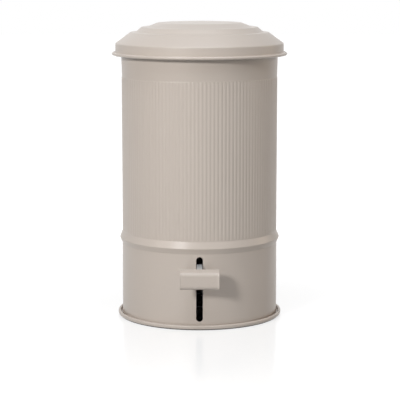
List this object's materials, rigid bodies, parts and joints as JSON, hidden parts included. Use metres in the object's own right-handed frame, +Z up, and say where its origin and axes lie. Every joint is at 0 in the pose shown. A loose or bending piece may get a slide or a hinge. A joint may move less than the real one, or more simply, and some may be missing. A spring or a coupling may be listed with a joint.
{
  "type": "pedal bin",
  "caption": "Round painted-steel pedal bin with fluted body, stepped lid, front pedal, push rod and a lift-out inner bucket.",
  "frame": {"origin": "on the floor, on the axis of the body, in the plane of the foot ring", "axes": "+Z up along the body axis, -Y to the front where the pedal is, +Y to the hinge, +X to the right of someone facing the bin"},
  "size_m": [0.3582, 0.3874, 0.6055],
  "materials": {
    "paint": "warm greige satin powder coat",
    "zinc_plate": "zinc-plated sheet",
    "zinc": "bright zinc fasteners",
    "steel": "drawn steel wire and pins",
    "nylon": "moulded nylon",
    "rubber": "matte",
    "bucket_plastic": "fine moulded grain",
    "grip_plastic": "smooth moulded"
  },
  "bodies": {
    "body": {"body_shell": "paint", "base_ring": "paint", "foot_ring": "rubber", "base_plate": "zinc_plate", "base_rivets": "zinc", "shelf_plate": "zinc_plate", "fulcrum_bracket": "zinc_plate", "fulcrum_rivets": "zinc", "lever_pin": "steel", "lever_pin_clips": "steel", "rod_guides": "nylon", "hinge_bracket": "paint", "hinge_screws": "zinc", "hinge_nuts": "zinc", "hinge_pin": "steel", "hinge_pin_clip": "steel", "lid_bumpers": "rubber"},
    "pedal": {"pedal_lever": "zinc_plate", "lever_bushes": "nylon", "pedal_plate": "paint"},
    "rod": {"push_rod": "steel", "rod_clips": "steel"},
    "lid": {"lid_shell": "paint", "lid_bracket": "zinc_plate", "lid_crank": "zinc_plate", "lid_rivets": "zinc"},
    "bucket": {"inner_bucket": "bucket_plastic"},
    "bail": {"bail_wire": "steel", "bail_grip": "grip_plastic"}
  },
  "joints": [
    {"name": "lid_hinge", "type": "hinge", "parent": "body", "child": "lid", "pos_m": [0, 0.172, 0.517], "axis": [-1, 0, 0], "range_deg": [0, 80]},
    {"name": "pedal_pivot", "type": "hinge", "parent": "body", "child": "pedal", "pos_m": [0, 0.05, 0.08], "axis": [1, 0, 0], "range_deg": [0, 16.8]},
    {"name": "rod_lift", "type": "slide", "parent": "body", "child": "rod", "axis": [0, 0, 1], "range_m": [0, 0.02791]},
    {"name": "bucket_lift", "type": "slide", "parent": "body", "child": "bucket", "axis": [0, 0, 1], "range_m": [0, 0.025]},
    {"name": "bail_swing", "type": "hinge", "parent": "bucket", "child": "bail", "pos_m": [0, 0, 0.4954], "axis": [-1, 0, 0], "range_deg": [0, 20]}
  ],
  "couplings": [
    {"joint": "pedal_pivot", "follows": "lid_hinge", "ratio": 0.20993},
    {"joint": "rod_lift", "follows": "lid_hinge", "m_per_rad": 0.019982}
  ]
}
